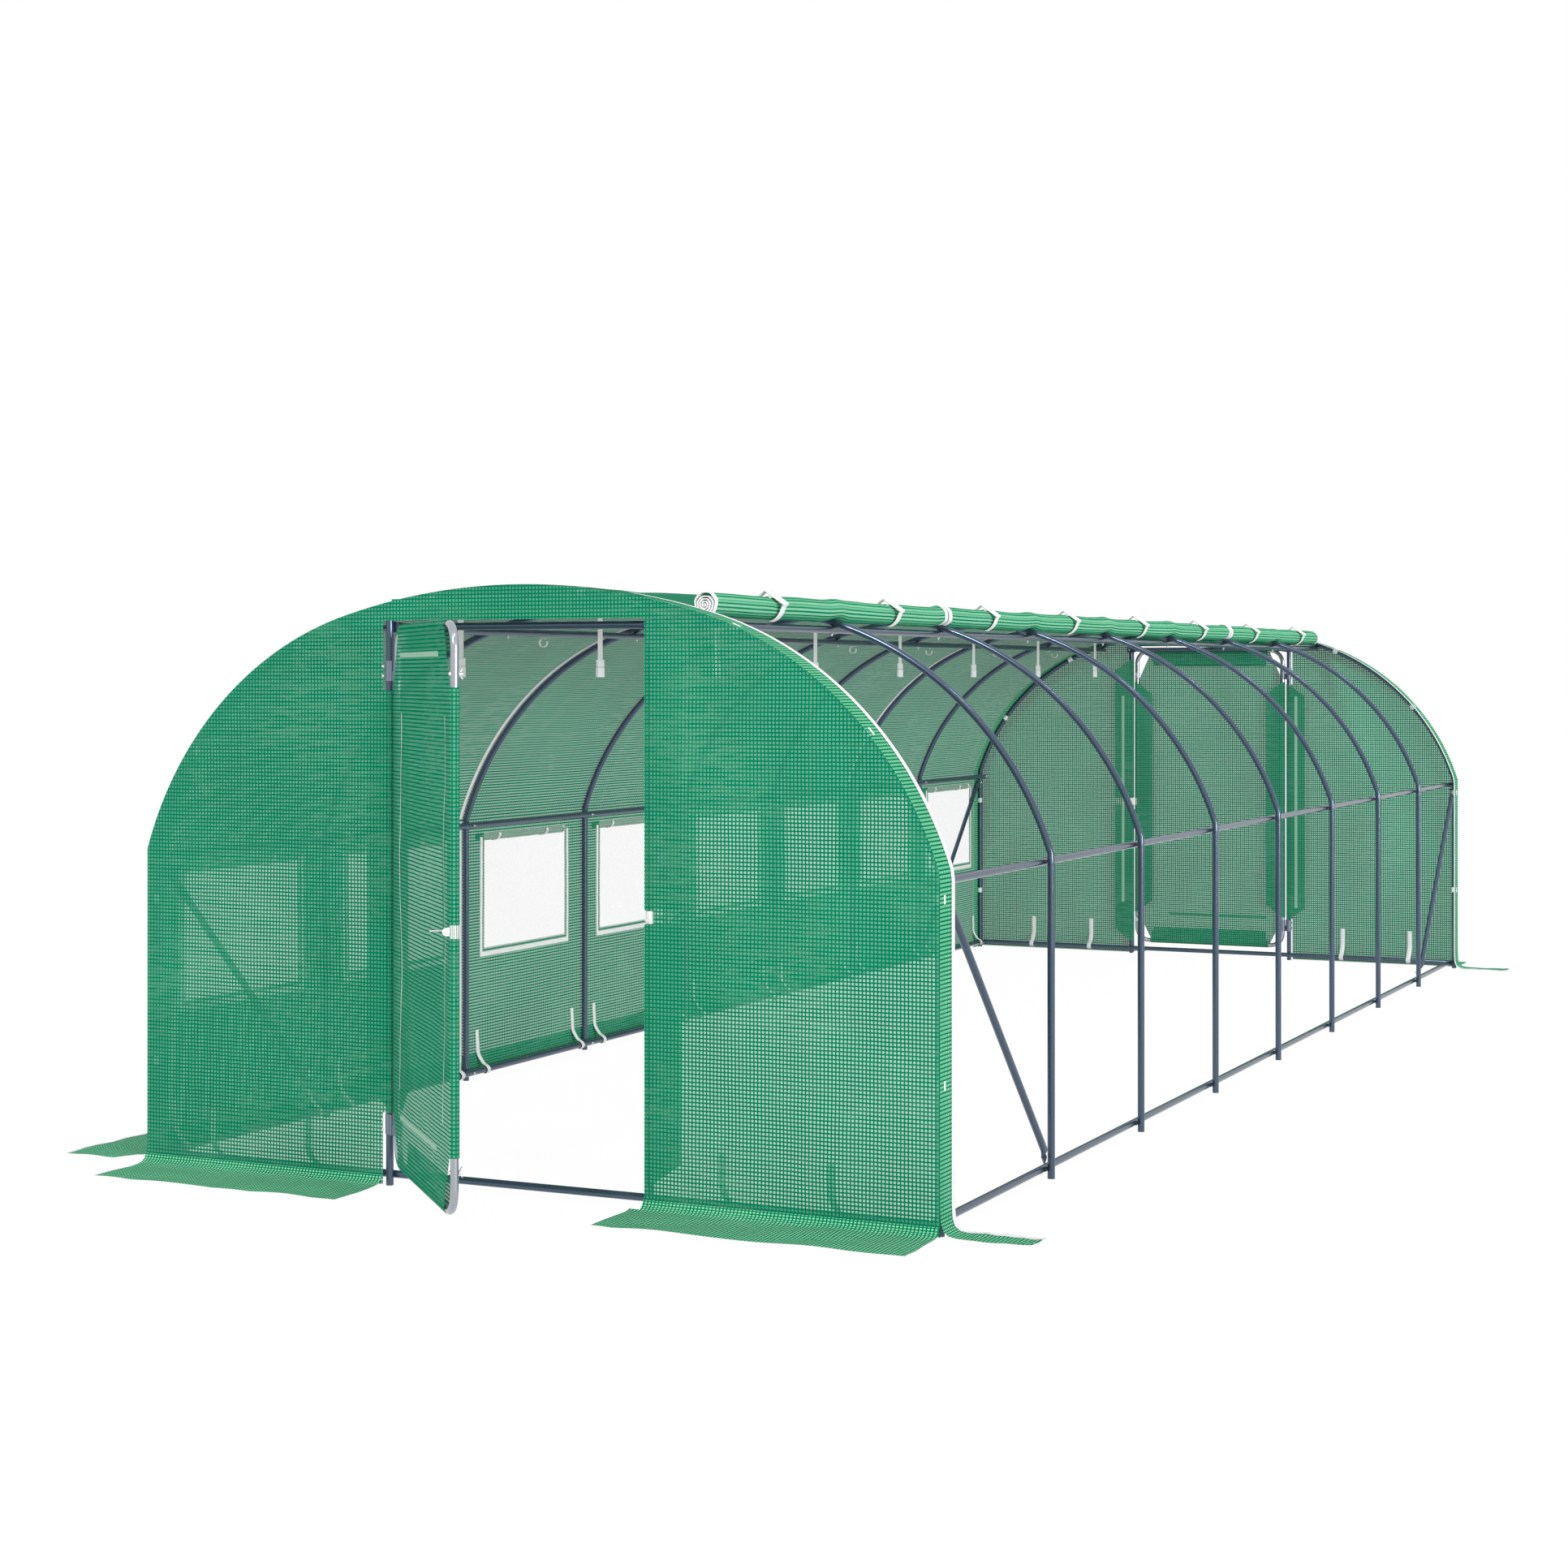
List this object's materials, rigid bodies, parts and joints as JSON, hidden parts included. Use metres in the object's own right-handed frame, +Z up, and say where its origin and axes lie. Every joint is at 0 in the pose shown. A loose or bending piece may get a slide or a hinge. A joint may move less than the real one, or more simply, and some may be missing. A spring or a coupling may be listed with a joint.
{
  "type": "polytunnel",
  "caption": "Walk-in polytunnel: bent tube hoops tied by straight rails under a grid-reinforced film cover, with a hinged door at each end, netted windows and one long side rolled up.",
  "frame": {"origin": "centre of the bounding box at ground level", "axes": "+Z up, +Y along the tunnel from the end whose door stands open to the rear end, +X towards the long side that is rolled up"},
  "size_m": [3.5899, 9.0352, 1.9701],
  "materials": {
    "coated_tube": "blue-grey coated steel tube, satin",
    "galvanised_tube": "bright galvanised steel tube",
    "grid_sheet": "green translucent film with a woven reinforcing grid",
    "webbing": "white woven webbing",
    "latch_white": "white coated pressed steel",
    "zinc_steel": "zinc-plated pressed steel"
  },
  "bodies": {
    "tunnel": {"hoop_1": "coated_tube", "hoop_2": "coated_tube", "hoop_3": "coated_tube", "hoop_4": "coated_tube", "hoop_5": "coated_tube", "hoop_6": "coated_tube", "hoop_7": "coated_tube", "hoop_8": "coated_tube", "hoop_9": "coated_tube", "base_rail_left": "coated_tube", "base_rail_right": "coated_tube", "waist_rail_left": "coated_tube", "waist_rail_right": "coated_tube", "shoulder_purlin_left": "coated_tube", "shoulder_purlin_right": "coated_tube", "ridge_purlin": "coated_tube", "front_base_rail": "coated_tube", "rear_base_rail": "coated_tube", "front_brace_left": "coated_tube", "front_brace_right": "coated_tube", "rear_brace_left": "coated_tube", "rear_brace_right": "coated_tube", "front_door_post_left": "coated_tube", "front_door_post_right": "coated_tube", "rear_door_post_left": "coated_tube", "rear_door_post_right": "coated_tube", "front_lintel": "coated_tube", "rear_lintel": "coated_tube", "cover_front": "grid_sheet", "cover_middle": "grid_sheet", "cover_rear": "grid_sheet", "front_panel": "grid_sheet", "rear_panel": "grid_sheet", "roll_strap_1": "webbing", "roll_strap_2": "webbing", "roll_strap_3": "webbing", "roll_strap_4": "webbing", "roll_strap_5": "webbing", "roll_strap_6": "webbing", "roll_strap_7": "webbing", "roll_strap_8": "webbing", "front_lower_hinge_post_leaf": "zinc_steel", "front_upper_hinge_post_leaf": "zinc_steel", "front_latch_keeper": "latch_white", "rear_lower_hinge_post_leaf": "zinc_steel", "rear_upper_hinge_post_leaf": "zinc_steel", "rear_latch_keeper": "latch_white"},
    "front_door": {"front_door_frame": "galvanised_tube", "front_door_sheet": "grid_sheet", "front_lower_hinge_door_leaf": "zinc_steel", "front_upper_hinge_door_leaf": "zinc_steel", "front_latch_clamp": "latch_white"},
    "front_latch": {"front_latch_pin": "zinc_steel"},
    "rear_door": {"rear_door_frame": "galvanised_tube", "rear_door_sheet": "grid_sheet", "rear_lower_hinge_door_leaf": "zinc_steel", "rear_upper_hinge_door_leaf": "zinc_steel", "rear_latch_clamp": "latch_white"},
    "rear_latch": {"rear_latch_pin": "zinc_steel"}
  },
  "joints": [
    {"name": "front_door_hinge", "type": "hinge", "parent": "tunnel", "child": "front_door", "pos_m": [-0.465, -3.84841, 0], "axis": [0, 0, -1], "range_deg": [-46, 124]},
    {"name": "front_latch_slide", "type": "slide", "parent": "front_door", "child": "front_latch", "axis": [0.6947, -0.7193, 0], "range_m": [0, 0.038]},
    {"name": "rear_door_hinge", "type": "hinge", "parent": "tunnel", "child": "rear_door", "pos_m": [0.465, 4.24477, 0], "axis": [0, 0, -1], "range_deg": [0, 170]},
    {"name": "rear_latch_slide", "type": "slide", "parent": "rear_door", "child": "rear_latch", "axis": [-1, 0, 0], "range_m": [0, 0.038]}
  ]
}
